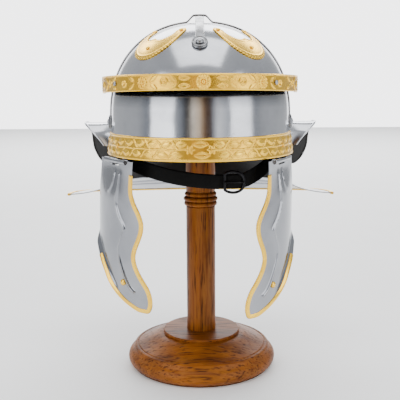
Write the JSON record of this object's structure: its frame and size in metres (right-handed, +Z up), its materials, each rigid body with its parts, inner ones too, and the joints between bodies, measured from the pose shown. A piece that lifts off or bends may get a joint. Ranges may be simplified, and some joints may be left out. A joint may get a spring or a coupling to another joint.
{
  "type": "roman legionary helmet on a turned wooden display stand",
  "caption": "Iron legionary helmet with embossed brass bands, cross straps, ear guards, a neck guard and hinged cheek guards, on a turned wooden stand.",
  "frame": {"origin": "centre of the stand's foot on the table", "axes": "+Z up the post to the crown, -Y ahead of the brow, +X to the right in the picture"},
  "size_m": [0.3264, 0.2924, 0.3932],
  "materials": {
    "steel": "polished sheet",
    "strap_steel": "worn bar",
    "brass": "embossed and worn",
    "wood": "varnished",
    "leather": "satin"
  },
  "bodies": {
    "helmet": {"bowl": "steel", "brow_band": "brass", "brow_guard": "steel", "brow_rivet_left": "strap_steel", "brow_rivet_right": "strap_steel", "chin_buckle": "strap_steel", "chin_buckle_prong": "strap_steel", "chin_strap_left": "leather", "chin_strap_right": "leather", "crescent_front_left": "brass", "crescent_front_right": "brass", "crescent_rear_left": "brass", "crescent_rear_right": "brass", "crescent_rivet_front_left_1": "brass", "crescent_rivet_front_left_2": "brass", "crescent_rivet_front_left_3": "brass", "crescent_rivet_front_right_1": "brass", "crescent_rivet_front_right_2": "brass", "crescent_rivet_front_right_3": "brass", "crescent_rivet_rear_left_1": "brass", "crescent_rivet_rear_left_2": "brass", "crescent_rivet_rear_left_3": "brass", "crescent_rivet_rear_right_1": "brass", "crescent_rivet_rear_right_2": "brass", "crescent_rivet_rear_right_3": "brass", "crown_strap": "strap_steel", "ear_guard_left": "steel", "ear_guard_right": "steel", "hinge_leaf_left": "steel", "hinge_leaf_right": "steel", "hinge_pin_left": "strap_steel", "hinge_pin_right": "strap_steel", "neck_guard_binding": "brass", "rim_band": "brass", "rim_nail_left": "brass", "rim_nail_right": "brass", "side_strap": "strap_steel", "stand_base": "wood", "stand_post": "wood", "strap_rivet_front": "strap_steel", "strap_rivet_left": "strap_steel", "strap_rivet_rear": "strap_steel", "strap_rivet_right": "strap_steel"},
    "cheek_guard_left_body": {"cheek_edging_left": "brass", "cheek_guard_left": "steel", "cheek_rivet_left": "brass"},
    "cheek_guard_right_body": {"cheek_edging_right": "brass", "cheek_guard_right": "steel", "cheek_rivet_right": "brass"}
  },
  "joints": [
    {"name": "cheek_hinge_left", "type": "hinge", "parent": "helmet", "child": "cheek_guard_left_body", "pos_m": [-0.088, -0.0565, 0.24], "axis": [-0.5299, 0.848, 0], "range_deg": [-15, 90]},
    {"name": "cheek_hinge_right", "type": "hinge", "parent": "helmet", "child": "cheek_guard_right_body", "pos_m": [0.084, -0.0565, 0.24], "axis": [-0.4195, -0.9078, 0], "range_deg": [-15, 90]}
  ]
}
